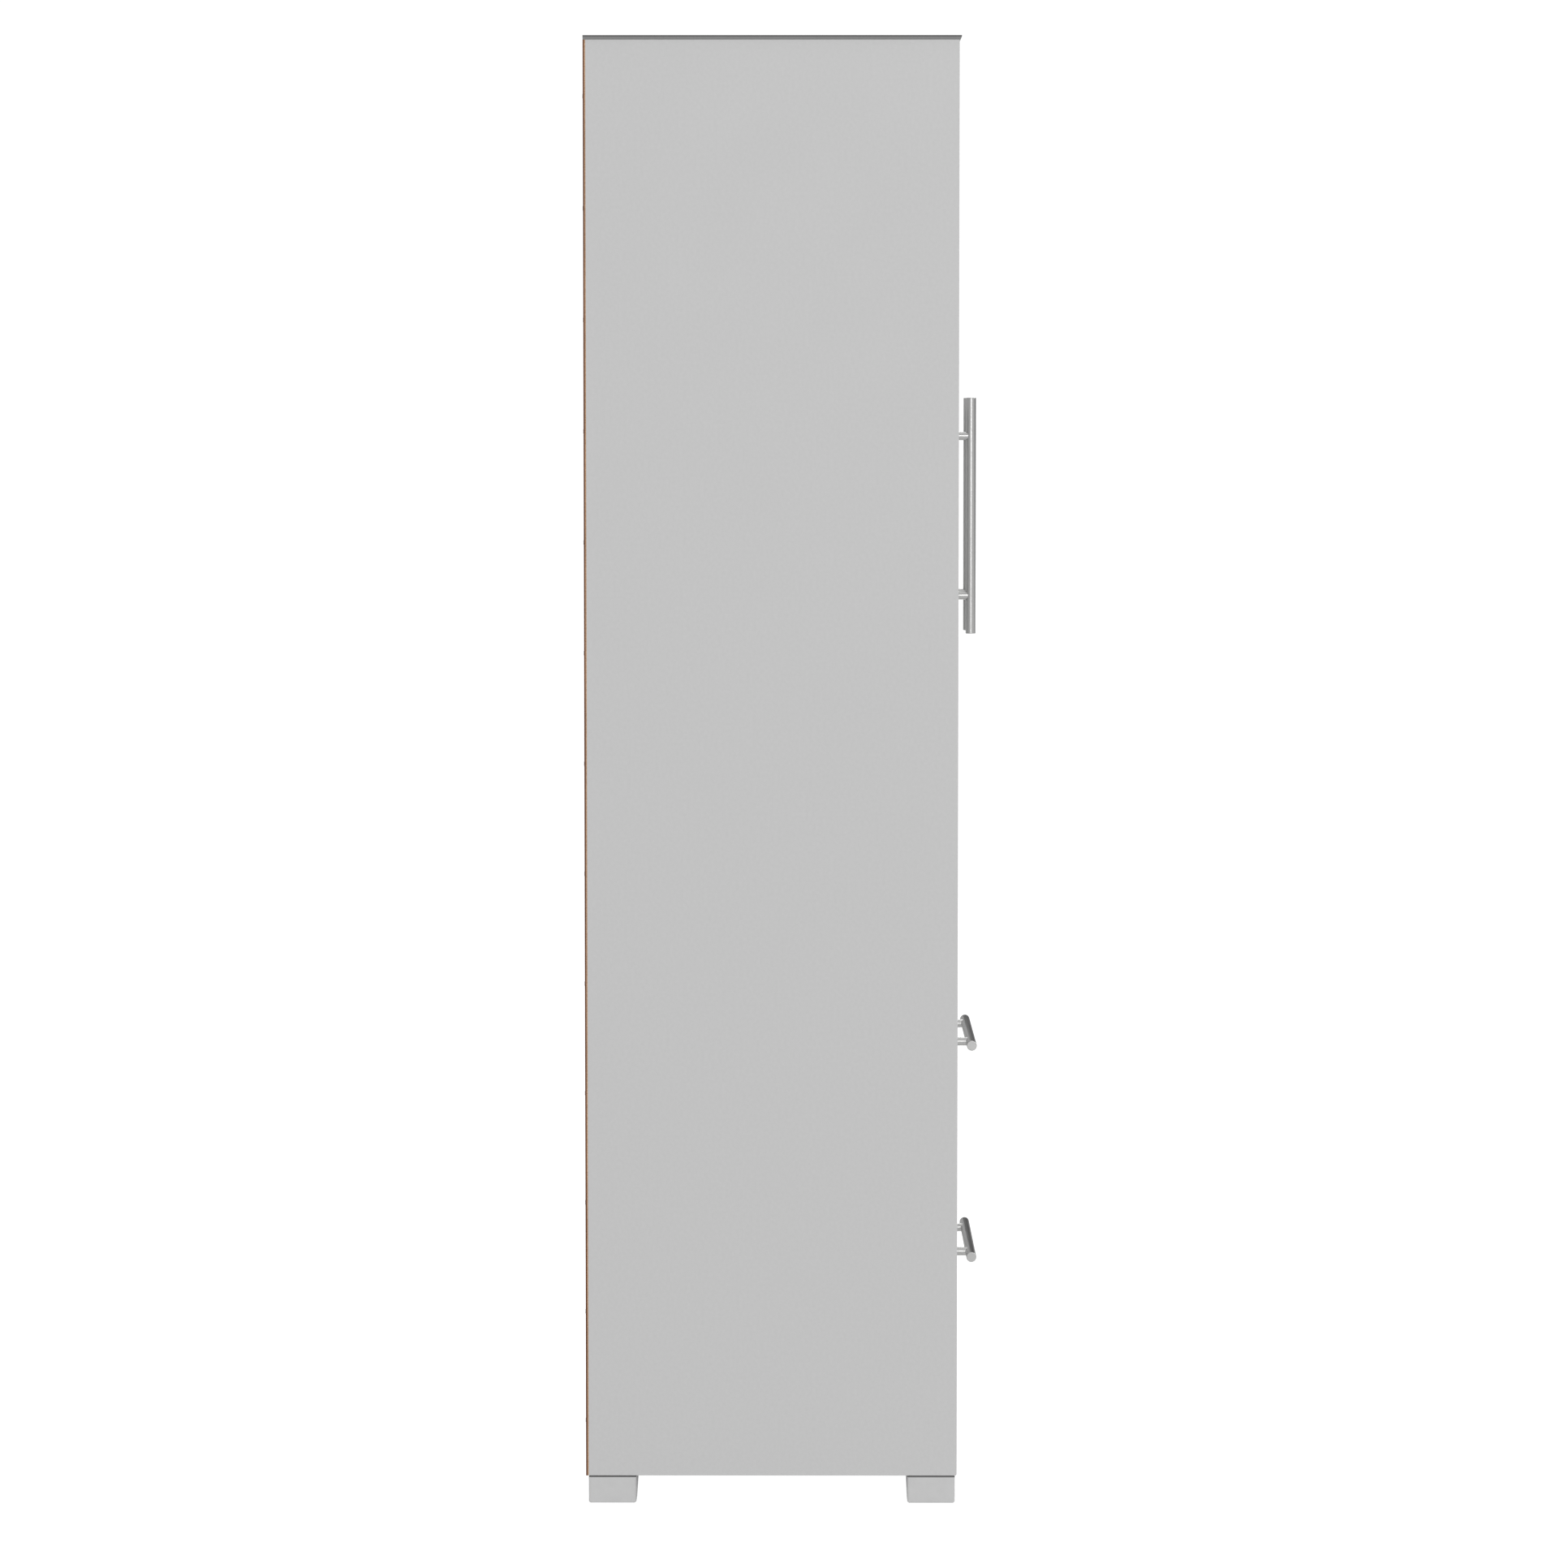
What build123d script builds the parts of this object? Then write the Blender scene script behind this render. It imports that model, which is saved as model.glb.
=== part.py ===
"""Tall pantry cabinet: two inset doors over two wide drawers, on four moulded feet.

Frame: X is the width, the front faces -Y, Z is up. The origin is the middle of the
cabinet's footprint, handles included, on the floor.
"""
from build123d import *
import os

# ---------------------------------------------------------------- driving dimensions (mm)
WIDTH = 800.0                # over the two side panels
HEIGHT = 1684.0              # floor to the top of the cap
CASE_DEPTH = 425.0           # side panel, front edge to rear edge
BOARD = 16.0                 # melamine faced board
EASE = 0.8                   # softened front edges of the boards
SIDE_CORNER = 2.0            # rounding of a side panel's lower front corner

FOOT_HEIGHT = 32.0
FOOT_DEPTH = 55.0
FOOT_LENGTH = 106.0          # along the cabinet's width
FOOT_SETBACK = 2.0           # front feet behind the front plane
FOOT_TOE = 30.0              # length of the underside, where the foot's inner end slopes in to
FOOT_STRAIGHT = 10.0         # upright part of the inner end, above the slope
FOOT_WALL = 3.0
FOOT_FLOOR = 6.0
FOOT_ROUND = 3.0
FOOT_BOTTOM_EDGE = 1.5
FOOT_TOP_ROUND = 2.0
FOOT_BOSS = 7.0              # radius of the screw bosses inside
FOOT_INNER_SCREW = 60.0      # inner screw from the cabinet's side
FOOT_SCREW_HEAD = 2.0
FOOT_SCREW_PLAY = 0.6        # head to the counterbore it sits in

CAP_THICK = 5.0
CAP_LIP = 1.5                # upright part of the cap's edge, above its bevel
CAP_OVERHANG = 2.4           # past the front and the sides
CAP_SCREW_BITE = 3.0         # screw's length inside the cap
CAP_SCREW_INSET = 90.0       # rows of cap screws from the front and rear edges
CAP_SCREW_COLUMN = 256.0     # outer cap screws from the middle

BACK_THICK = 3.0
NAIL_HEAD = 0.6              # height of a nail's head behind the back
NAIL_HEAD_RADIUS = 2.5
NAIL_RADIUS = 0.7
NAIL_LENGTH = 18.0
NAIL_PITCH = 125.0

PLINTH_HEIGHT = 69.0
PLINTH_SETBACK = 2.0
DRAWER_FRONT_HEIGHT = 252.0
GAP = 3.0                    # between one front and the next
SIDE_GAP = 2.0               # between a front and a side panel

SHELF_COUNT = 4
SHELF_SETBACK = 26.0         # shelf's front edge behind the front plane
SHELF_BACK_GAP = 5.0         # shelf's rear edge to the back
SHELF_PLAY = 1.0             # shelf end to side panel
PIN_RADIUS = 2.5
PIN_DEPTH = 8.0
PIN_REACH = 8.0
PIN_COLLAR = 0.9
PIN_COLLAR_RADIUS = 3.8
PIN_STEP = 32.0              # spare pin holes above and below each shelf
PIN_ROW_INSET = 30.0         # rows of pin holes from the shelf's front and rear edges

BAR_RADIUS = 6.0             # handle bar
BAR_LENGTH = 284.0
BAR_END_EASE = 0.6
BAR_OFFSET = 24.6            # bar's axis in front of the fronts
POST_RADIUS = 5.0
POST_SPACING = 192.0
DOOR_HANDLE_INSET = 50.0     # handle's axis from the door's free edge
DOOR_HANDLE_HEIGHT = 484.0   # handle's middle above the door's lower edge
SCREW_RADIUS = 2.0           # handle screw
SCREW_BITE = 10.0            # handle screw's length inside a post
SCREW_HEAD = 2.2
SCREW_HEAD_RADIUS = 4.0
SCREW_CLEARANCE = 0.25

DRAWER_SIDE = 12.0           # drawer box board
DRAWER_RISE = 22.0           # drawer box above the lower edge of its front
DRAWER_DROP = 30.0           # and below the upper edge
DRAWER_BACK_GAP = 29.0       # drawer box to the back
DRAWER_SHEET = 3.0           # hardboard bottom
GROOVE_DEPTH = 6.0
GROOVE_RISE = 10.0
GROOVE_PLAY = 0.2
SHEET_PLAY = 0.5

RUNNER_SPACE = 12.5          # side panel to drawer box
RUNNER_SHEET = 1.0
RUNNER_SHORTER = 30.0        # rails shorter than the drawer box
RUNNER_SETBACK = 2.0         # cabinet rail's front end behind the drawer front
RUNNER_MOUTH = 48.0          # open stretch of the cabinet rail, at its roller
LIP_GAP = 1.0                # a rail's lip to the other rail
ROLLER_RADIUS = 8.5
ROLLER_PLAY = 1.85           # roller's ends to the two rails
ROLLER_INSET = 14.0          # roller's axis from its rail's end
ROLLER_LIFT = 0.3            # roller to the track beside it
ROLLER_DROP = 0.5            # rear roller below the drawer box
AXLE_RADIUS = 2.0
AXLE_CLEARANCE = 0.05
AXLE_PLAY = 0.25             # roller's end to the axle's head
AXLE_HEAD = 0.5
AXLE_HEAD_RADIUS = 3.5
RUNNER_SCREW_INSET = 40.0    # outer screws of a cabinet rail from its ends
RAIL_SCREW_INSET = 60.0      # screws of a drawer rail from its ends
RAIL_SCREW_BITE = 8.4

CHIP_SCREW_RADIUS = 2.2
CHIP_SCREW_LENGTH = 12.0
CHIP_HEAD = 0.8
CHIP_HEAD_RADIUS = 3.4
RECESS_REACH = 0.55          # cross recess as a share of its head: arms, their width, depth
RECESS_WIDTH = 0.26
RECESS_DEPTH = 0.6
HEAD_BEVEL = 0.4

CAM_RADIUS = 7.5
CAM_DEPTH = 12.0
CAM_INSET = 34.0             # cam's axis from the panel's end
CAM_BOLT_RADIUS = 3.0
CAM_BOLT_BITE = 11.0
CAM_BOLT_CLEARANCE = 0.05
CAM_ROW_INSET = 60.0         # rows of cams from the case's front and rear edges
CAM_CROSS = (4.0, 1.4, 1.5)  # cross recess in a cam: arm, width, depth
DOWEL_RADIUS = 4.0
DOWEL_BITE = 10.0
DOWEL_LENGTH = 32.0
DOWEL_ROW_INSET = 120.0

BRACKET_WIDTH = 40.0
BRACKET_LEG = 32.0
BRACKET_SHEET = 2.0
WALL_HOLE_RADIUS = 3.0
BRACKET_SCREW_SPACING = 22.0

PIVOT_FROM_SIDE = 13.0       # door's pivot axis from the side panel's inner face
PIVOT_FROM_FRONT = 6.0       # and behind the front plane
PIVOT_RADIUS = 2.0
PIVOT_LENGTH = 9.0           # pin's length above its plate
PIVOT_PLATE = 2.0
PIVOT_PLATE_WIDTH = 16.0
PIVOT_PLATE_SETBACK = 1.2
PIVOT_PLATE_END = 46.0       # plate's rear end behind the front plane
PLATE_ROUND = 2.0            # corners of the small plates and of the catches
PIVOT_SCREWS = (25.0, 38.0)  # behind the front plane
BUSH_CLEARANCE = 0.05
BUSH_RADIUS = 3.4
BUSH_LENGTH = 12.0
BUSH_FLOOR = 1.0
BUSH_RIM = 0.5               # bush standing out of the door's end

CATCH_WIDTH = 40.0
CATCH_HEIGHT = 12.0
CATCH_DEPTH = 15.0
CATCH_INSET = 45.0           # catch's middle from the door's free edge
CATCH_SCREW_SPACING = 28.0
STRIKE_THICK = 1.2
STRIKE_WIDTH = 30.0
STRIKE_HEIGHT = 12.0
STRIKE_DROP = 4.0            # strike plate below the door's top
CATCH_CLEARANCE = 0.8        # catch to strike plate, door shut

# ---------------------------------------------------------------- worked out sizes
BACK_FACE = CASE_DEPTH + BACK_THICK
HANDLE_REACH = BAR_OFFSET + BAR_RADIUS
FRONT = -(BACK_FACE + NAIL_HEAD - HANDLE_REACH) / 2      # Y of the front plane
HALF = WIDTH / 2
INNER = HALF - BOARD                                     # half the clear width
CASE_BOTTOM = FOOT_HEIGHT
CASE_TOP = HEIGHT - CAP_THICK
BOTTOM_Z = CASE_BOTTOM + PLINTH_HEIGHT                   # underside of the bottom panel
TOP_Z = CASE_TOP - BOARD                                 # underside of the top panel
LOWER_FRONT_Z = BOTTOM_Z + BOARD + GAP
UPPER_FRONT_Z = LOWER_FRONT_Z + DRAWER_FRONT_HEIGHT + GAP
DIVIDER_Z = UPPER_FRONT_Z + DRAWER_FRONT_HEIGHT + GAP
DOOR_Z = DIVIDER_Z + BOARD + GAP
DOOR_TOP = TOP_Z - GAP
PANTRY_CLEAR = TOP_Z - DIVIDER_Z - BOARD
SHELF_SPACE = (PANTRY_CLEAR - SHELF_COUNT * BOARD) / (SHELF_COUNT + 1)
SHELF_STEP = SHELF_SPACE + BOARD
SHELF_ZS = [DIVIDER_Z + SHELF_STEP * (number + 1) for number in range(SHELF_COUNT)]
SHELF_REAR = CASE_DEPTH - SHELF_BACK_GAP
PIN_ROWS = (SHELF_SETBACK + PIN_ROW_INSET, SHELF_REAR - PIN_ROW_INSET)
CAM_ROWS = (CAM_ROW_INSET, CASE_DEPTH - CAM_ROW_INSET)
DOWEL_ROWS = (DOWEL_ROW_INSET, CASE_DEPTH - DOWEL_ROW_INSET)
DRAWER_REAR = CASE_DEPTH - DRAWER_BACK_GAP
RUNNER_LENGTH = DRAWER_REAR - BOARD - RUNNER_SHORTER
RUNNER_START = BOARD + RUNNER_SETBACK
RUNNER_END = RUNNER_START + RUNNER_LENGTH
RUNNER_SCREWS = (RUNNER_START + RUNNER_SCREW_INSET, RUNNER_START + RUNNER_LENGTH / 2,
                 RUNNER_END - RUNNER_SCREW_INSET)
RAIL_SCREWS = (BOARD + RAIL_SCREW_INSET, BOARD + RUNNER_LENGTH - RAIL_SCREW_INSET)
ROLLER_WIDTH = RUNNER_SPACE - 2 * (RUNNER_SHEET + ROLLER_PLAY)
CATCH_FRONT = BOARD + STRIKE_THICK + CATCH_CLEARANCE
CATCH_SCREW_Y = CATCH_FRONT + CATCH_DEPTH / 2
BRACKET_SCREW_Y = CASE_DEPTH - BRACKET_LEG / 2
WALL_HOLE_Z = TOP_Z - BRACKET_LEG / 2
PLINTHS = {"front_plinth": PLINTH_SETBACK, "rear_plinth": CASE_DEPTH - BOARD}
FITTED_PANELS = {"top_panel": TOP_Z, "divider_shelf": DIVIDER_Z, "bottom_panel": BOTTOM_Z}
DRAWERS = {"lower": LOWER_FRONT_Z, "upper": UPPER_FRONT_Z}
SIDES = {"left": -1, "right": 1}
FACINGS = {"right": Rot(0, 90, 0), "left": Rot(0, -90, 0), "back": Rot(-90, 0, 0),
           "up": Rot(0, 0, 0), "down": Rot(180, 0, 0)}

nodes = {}


# ---------------------------------------------------------------- small makers
def block(x0, x1, y0, y1, z0, z1):
    """A box between two corners; y is counted back from the front plane."""
    centre = Pos((x0 + x1) / 2, FRONT + (y0 + y1) / 2, (z0 + z1) / 2)
    return centre * Box(abs(x1 - x0), y1 - y0, z1 - z0)


def rod_x(x0, x1, y, z, radius):
    return Pos((x0 + x1) / 2, FRONT + y, z) * Rot(0, 90, 0) * Cylinder(radius, abs(x1 - x0))


def rod_y(x, y0, y1, z, radius):
    return Pos(x, FRONT + (y0 + y1) / 2, z) * Rot(90, 0, 0) * Cylinder(radius, y1 - y0)


def rod_z(x, y, z0, z1, radius):
    return Pos(x, FRONT + y, (z0 + z1) / 2) * Cylinder(radius, z1 - z0)


def run_y(points, y0, y1):
    """A section given as (x, z), run from y0 to y1 behind the front plane."""
    section = Plane.XZ.offset(-(FRONT + y0)) * make_face(Polyline(*points, close=True))
    return extrude(section, -(y1 - y0))


def eased(body, y=0.0):
    """Rounds the edges of the face that lies y behind the front plane."""
    edges = body.edges().filter_by_position(Axis.Y, FRONT + y - 0.01, FRONT + y + 0.01)
    return fillet(edges, EASE)


def cross(arm, width, depth):
    """Cross recess sunk below the XY plane."""
    slot = Pos(0, 0, -depth / 2) * Box(2 * arm, width, depth)
    return slot + Rot(0, 0, 90) * slot


def screw_head(x, y, z, facing, radius=CHIP_HEAD_RADIUS, height=CHIP_HEAD):
    """Bevelled head with a cross recess, standing on a surface and facing one way."""
    disc = Pos(0, 0, height / 2) * Cylinder(radius, height)
    disc = chamfer(disc.edges().group_by(Axis.Z)[-1], height * HEAD_BEVEL)
    recess = Pos(0, 0, height) * cross(radius * RECESS_REACH, radius * RECESS_WIDTH, height * RECESS_DEPTH)
    return Pos(x, FRONT + y, z) * FACINGS[facing] * (disc - recess)


def from_side(side, distance):
    """X of a point so far in from the side panel's inner face."""
    return side * (INNER - distance)


def add(name, *solids):
    nodes[name] = list(solids)


# ---------------------------------------------------------------- holes that several pieces share
def joint_rows():
    """Height and depth of each cam bolt, then of each dowel, in the side panels."""
    middles = [z + BOARD / 2 for z in FITTED_PANELS.values()]
    bolts = [(y, z) for z in middles for y in CAM_ROWS]
    dowels = [(y, z) for z in middles for y in DOWEL_ROWS]
    plinth_z = CASE_BOTTOM + PLINTH_HEIGHT / 2
    dowels.append((PLINTH_SETBACK + BOARD / 2, plinth_z))
    dowels.append((CASE_DEPTH - BOARD / 2, plinth_z))
    return bolts, dowels


def nail_spots():
    """Nails through the back: up both sides and along the three fitted panels."""
    spots = []
    rows = int((CASE_TOP - CASE_BOTTOM) / NAIL_PITCH)
    for row in range(rows):
        z = CASE_BOTTOM + (row + 0.5) * (CASE_TOP - CASE_BOTTOM) / rows
        for side in SIDES.values():
            spots.append((side * (HALF - BOARD / 2), z))
    columns = int(2 * INNER / NAIL_PITCH) - 1
    for z in FITTED_PANELS.values():
        for column in range(columns):
            x = -INNER + (column + 1) * 2 * INNER / (columns + 1)
            spots.append((x, z + BOARD / 2))
    return spots


def rear_axis_height(front_z):
    """Height of a drawer's rear roller axes, and of its cabinet rails' screws."""
    return front_z + DRAWER_RISE + ROLLER_RADIUS - ROLLER_DROP


def runner_screw_spots(front_z):
    return [(y, rear_axis_height(front_z)) for y in RUNNER_SCREWS]


def pivot_screw_spots():
    """Screws of the pivot plates: place, the board's face and which way the screw goes."""
    for side in SIDES.values():
        for y in PIVOT_SCREWS:
            yield from_side(side, PIVOT_FROM_SIDE), y, DIVIDER_Z + BOARD, -1
            yield from_side(side, PIVOT_FROM_SIDE), y, TOP_Z, 1


def catch_screw_xs(side):
    middle = side * (GAP / 2 + CATCH_INSET)
    return (middle - CATCH_SCREW_SPACING / 2, middle + CATCH_SCREW_SPACING / 2)


def foot_places():
    """Each foot's outer corner: name, side, front face and rear face."""
    for name, side in SIDES.items():
        yield "front_" + name + "_foot", side, FOOT_SETBACK, FOOT_SETBACK + FOOT_DEPTH
        yield "rear_" + name + "_foot", side, CASE_DEPTH - FOOT_DEPTH, CASE_DEPTH


def foot_screw_spots(side, y0, y1):
    """One screw up into the side panel and one up into the plinth board."""
    plinth = "front_plinth" if y0 < CASE_DEPTH / 2 else "rear_plinth"
    return [(side * (HALF - BOARD / 2), (y0 + y1) / 2),
            (side * (HALF - FOOT_INNER_SCREW), PLINTHS[plinth] + BOARD / 2)]


def all_foot_screws():
    return [spot for foot, *place in foot_places() for spot in foot_screw_spots(*place)]


# ---------------------------------------------------------------- case
def side_board(side):
    """Side panel with its lower front corner rounded and its front edges softened."""
    body = block(side * INNER, side * HALF, 0, CASE_DEPTH, CASE_BOTTOM, CASE_TOP)
    corner = body.edges().filter_by(Axis.X).group_by(Axis.Z)[0].sort_by(Axis.Y)[0]
    body = fillet(corner, SIDE_CORNER)
    return fillet(body.faces().sort_by(Axis.Y)[0].edges().filter_by(Axis.Z), EASE)


def make_sides():
    bolts, dowels = joint_rows()
    for name, side in SIDES.items():
        body = side_board(side)
        face = side * INNER
        bore = CAM_BOLT_RADIUS + CAM_BOLT_CLEARANCE
        holes = [rod_x(face, face + side * CAM_BOLT_BITE, y, z, bore) for y, z in bolts]
        holes += [rod_x(face, face + side * DOWEL_BITE, y, z, DOWEL_RADIUS) for y, z in dowels]
        for z in SHELF_ZS:
            for step in (-1, 0, 1):
                for y in PIN_ROWS:
                    pin_z = z - PIN_RADIUS + step * PIN_STEP
                    holes.append(rod_x(face, face + side * PIN_DEPTH, y, pin_z, PIN_RADIUS))
        for front_z in DRAWERS.values():
            for y, z in runner_screw_spots(front_z):
                holes.append(rod_x(face, face + side * CHIP_SCREW_LENGTH, y, z, CHIP_SCREW_RADIUS))
        holes += [nail_shank(x, z) for x, z in nail_spots() if abs(x) > INNER and x * side > 0]
        holes += [foot_shank(x, y) for x, y in all_foot_screws() if x * side > INNER]
        add(name + "_side", body - holes)


def nail_shank(x, z):
    return rod_y(x, BACK_FACE - NAIL_LENGTH, BACK_FACE, z, NAIL_RADIUS)


def foot_shank(x, y):
    return rod_z(x, y, FOOT_WALL, CASE_BOTTOM + CHIP_SCREW_LENGTH, CHIP_SCREW_RADIUS)


def cam_and_bolt(side, y, z, upward):
    """Cam in a panel whose underside is at z, its recess, and the bolt that it pulls in."""
    x = side * (INNER - CAM_INSET)
    z0 = z + BOARD - CAM_DEPTH if upward else z
    disc = rod_z(x, y, z0, z0 + CAM_DEPTH, CAM_RADIUS)
    open_face = Pos(x, FRONT + y, z + BOARD if upward else z)
    recess = open_face * FACINGS["up" if upward else "down"] * cross(*CAM_CROSS)
    bolt = rod_x(x, side * (INNER + CAM_BOLT_BITE), y, z + BOARD / 2, CAM_BOLT_RADIUS)
    return disc, recess, bolt


def dowel(side, y, z):
    outer_end = side * (INNER + DOWEL_BITE)
    return rod_x(outer_end - side * DOWEL_LENGTH, outer_end, y, z, DOWEL_RADIUS)


def make_fitted_panels():
    """Top, divider and bottom, each held by cams and dowels, with the fittings themselves."""
    cams, bolts, dowels = [], [], []
    for name, z in FITTED_PANELS.items():
        body = eased(block(-INNER, INNER, 0, CASE_DEPTH, z, z + BOARD))
        middle = z + BOARD / 2
        holes = [nail_shank(x, nz) for x, nz in nail_spots() if abs(x) < INNER and z < nz < z + BOARD]
        for side in SIDES.values():
            for y in CAM_ROWS:
                disc, recess, bolt = cam_and_bolt(side, y, z, name == "top_panel")
                holes += [bolt, disc]
                bolts.append(bolt)
                cams.append(disc - bolt - recess)
            for y in DOWEL_ROWS:
                dowels.append(dowel(side, y, middle))
                holes.append(dowels[-1])
        if name == "top_panel":
            holes += [cap_screw(x, y) for x, y in cap_screw_spots()]
            holes += [bracket_top_screw(x) for x in bracket_screw_xs()]
            holes += [catch_screw(x) for side in SIDES.values() for x in catch_screw_xs(side)]
        holes += [pivot_screw(*spot) for spot in pivot_screw_spots() if z <= spot[2] <= z + BOARD]
        add(name, body - holes)
    for y0 in PLINTHS.values():
        for side in SIDES.values():
            dowels.append(dowel(side, y0 + BOARD / 2, CASE_BOTTOM + PLINTH_HEIGHT / 2))
    add("cam_fittings", *cams, *bolts)
    add("dowels", *dowels)


def make_plinths():
    for name, y0 in PLINTHS.items():
        body = eased(block(-INNER, INNER, y0, y0 + BOARD, CASE_BOTTOM, BOTTOM_Z), y0)
        middle = CASE_BOTTOM + PLINTH_HEIGHT / 2
        holes = [dowel(side, y0 + BOARD / 2, middle) for side in SIDES.values()]
        holes += [foot_shank(x, y) for x, y in all_foot_screws() if y0 < y < y0 + BOARD]
        add(name, body - holes)


def make_cap():
    """Thin cap: an upright lip over a bevel that runs back to the case's outline."""
    back = FRONT + BACK_FACE
    wide = HALF + CAP_OVERHANG
    lower = Plane.XY.offset(CASE_TOP) * Pos(0, (FRONT + back) / 2) * Rectangle(WIDTH, BACK_FACE)
    lip_z = HEIGHT - CAP_LIP
    middle = Pos(0, (FRONT - CAP_OVERHANG + back) / 2)
    upper = Plane.XY.offset(lip_z) * middle * Rectangle(2 * wide, BACK_FACE + CAP_OVERHANG)
    bevel = loft([lower.face(), upper.face()], ruled=True)
    lip = block(-wide, wide, -CAP_OVERHANG, BACK_FACE, lip_z, HEIGHT)
    add("top_cap", bevel + lip - [cap_screw(x, y) for x, y in cap_screw_spots()])


def cap_screw_spots():
    for x in (-CAP_SCREW_COLUMN, 0.0, CAP_SCREW_COLUMN):
        for y in (CAP_SCREW_INSET, CASE_DEPTH - CAP_SCREW_INSET):
            yield x, y


def cap_screw(x, y):
    return rod_z(x, y, TOP_Z, CASE_TOP + CAP_SCREW_BITE, CHIP_SCREW_RADIUS)


def make_back():
    body = block(-HALF, HALF, CASE_DEPTH, BACK_FACE, CASE_BOTTOM, CASE_TOP)
    holes = [nail_shank(x, z) for x, z in nail_spots()]
    holes.append(rod_y(0, CASE_DEPTH, BACK_FACE, WALL_HOLE_Z, WALL_HOLE_RADIUS))
    add("back_panel", body - holes)
    nails = []
    for x, z in nail_spots():
        head = rod_y(x, BACK_FACE, BACK_FACE + NAIL_HEAD, z, NAIL_HEAD_RADIUS)
        nails.append(nail_shank(x, z) + head)
    add("back_nails", *nails)


def bracket_screw_xs():
    return (-BRACKET_SCREW_SPACING / 2, BRACKET_SCREW_SPACING / 2)


def bracket_top_screw(x):
    ends = TOP_Z - BRACKET_SHEET, TOP_Z + CHIP_SCREW_LENGTH
    return rod_z(x, BRACKET_SCREW_Y, *ends, CHIP_SCREW_RADIUS)


def make_bracket():
    """Steel angle under the top panel that takes the screw into the wall."""
    half = BRACKET_WIDTH / 2
    flat = block(-half, half, CASE_DEPTH - BRACKET_LEG, CASE_DEPTH, TOP_Z - BRACKET_SHEET, TOP_Z)
    upright = block(-half, half, CASE_DEPTH - BRACKET_SHEET, CASE_DEPTH, TOP_Z - BRACKET_LEG, TOP_Z)
    holes = [bracket_top_screw(x) for x in bracket_screw_xs()]
    holes.append(rod_y(0, CASE_DEPTH - BRACKET_LEG, CASE_DEPTH, WALL_HOLE_Z, WALL_HOLE_RADIUS))
    add("wall_bracket", flat + upright - holes)


def make_feet():
    """Hollow brackets, open above, with a slope under the inner end and a boss for each screw."""
    screws = []
    seat = FOOT_HEIGHT / 2
    slope_top = FOOT_HEIGHT - FOOT_STRAIGHT
    slope = slope_top / (FOOT_LENGTH - FOOT_TOE)
    pocket_end = FOOT_LENGTH - FOOT_WALL
    pocket_rise = FOOT_FLOOR + slope * (pocket_end - FOOT_TOE)
    outline = [(0, 0), (0, FOOT_HEIGHT), (FOOT_LENGTH, FOOT_HEIGHT), (FOOT_LENGTH, slope_top),
               (FOOT_TOE, 0)]
    pocket = [(FOOT_WALL, FOOT_FLOOR), (FOOT_WALL, FOOT_HEIGHT), (pocket_end, FOOT_HEIGHT),
              (pocket_end, pocket_rise), (FOOT_TOE, FOOT_FLOOR)]
    for name, side, y0, y1 in foot_places():
        shell = run_y([(side * (HALF - inward), z) for inward, z in outline], y0, y1)
        shell = fillet(shell.edges().filter_by(Axis.Z), FOOT_ROUND)
        shell = chamfer(shell.edges().group_by(Axis.Z)[0], FOOT_BOTTOM_EDGE)
        shell = fillet(shell.edges().group_by(Axis.Z)[-1], FOOT_TOP_ROUND)
        hollow = [(side * (HALF - inward), z) for inward, z in pocket]
        inside = run_y(hollow, y0 + FOOT_WALL, y1 - FOOT_WALL)
        holes = []
        for x, y in foot_screw_spots(side, y0, y1):
            inside -= rod_z(x, y, 0, FOOT_HEIGHT, FOOT_BOSS)
            holes.append(rod_z(x, y, 0, FOOT_HEIGHT, CHIP_SCREW_RADIUS))
            holes.append(rod_z(x, y, 0, seat, CHIP_HEAD_RADIUS + FOOT_SCREW_PLAY))
            shank = rod_z(x, y, seat, CASE_BOTTOM + CHIP_SCREW_LENGTH, CHIP_SCREW_RADIUS)
            screws.append(shank + screw_head(x, y, seat, "down", height=FOOT_SCREW_HEAD))
        add(name, shell - inside - holes)
    add("foot_screws", *screws)


# ---------------------------------------------------------------- pantry shelves
def make_shelves():
    pins = []
    half = INNER - SHELF_PLAY
    for count, z in enumerate(SHELF_ZS, 1):
        body = block(-half, half, SHELF_SETBACK, SHELF_REAR, z, z + BOARD)
        add("pantry_shelf_%d" % count, eased(body, SHELF_SETBACK))
        for side in SIDES.values():
            for y in PIN_ROWS:
                face = side * INNER
                pin_z = z - PIN_RADIUS
                pin = rod_x(face + side * PIN_DEPTH, face - side * PIN_REACH, y, pin_z, PIN_RADIUS)
                pins.append(pin + rod_x(face, face - side * PIN_COLLAR, y, pin_z, PIN_COLLAR_RADIUS))
    add("shelf_pins", *pins)


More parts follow.
